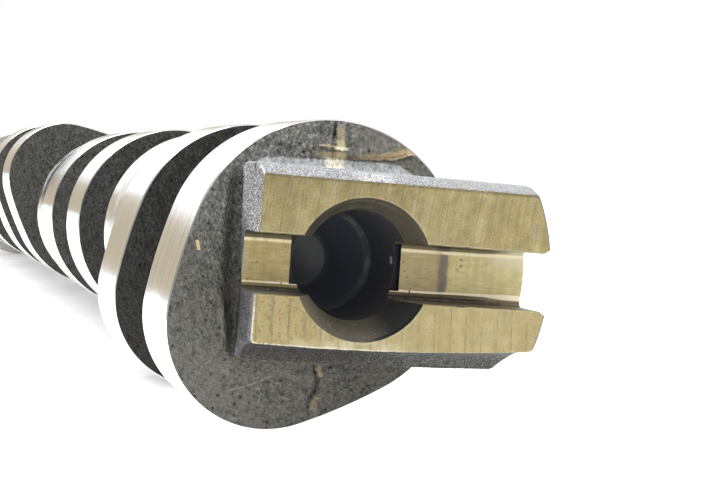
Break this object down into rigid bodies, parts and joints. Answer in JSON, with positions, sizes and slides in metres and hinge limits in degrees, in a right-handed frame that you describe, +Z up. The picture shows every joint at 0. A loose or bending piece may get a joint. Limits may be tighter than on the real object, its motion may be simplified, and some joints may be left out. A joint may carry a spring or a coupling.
{
  "type": "camshaft",
  "caption": "One-piece cast camshaft with paired ground lobes, bearing journals, a slotted drive dog with a centre bore at one end and a plain timing-wheel nose at the other.",
  "frame": {"origin": "centre of the drive dog's bore mouth, on the shaft's axis at the dog's milled face", "axes": "+X along the shaft out of the dog end, +Z up with the shaft lying on its lobes and thrust collar, +Y to the dog block's long end"},
  "size_m": [0.382, 0.0425, 0.0394],
  "materials": {
    "chilled_iron": "ground on the lobes and journals, milled on the dog, as cast between them"
  },
  "bodies": {
    "root": {"camshaft": "chilled_iron"}
  },
  "joints": []
}
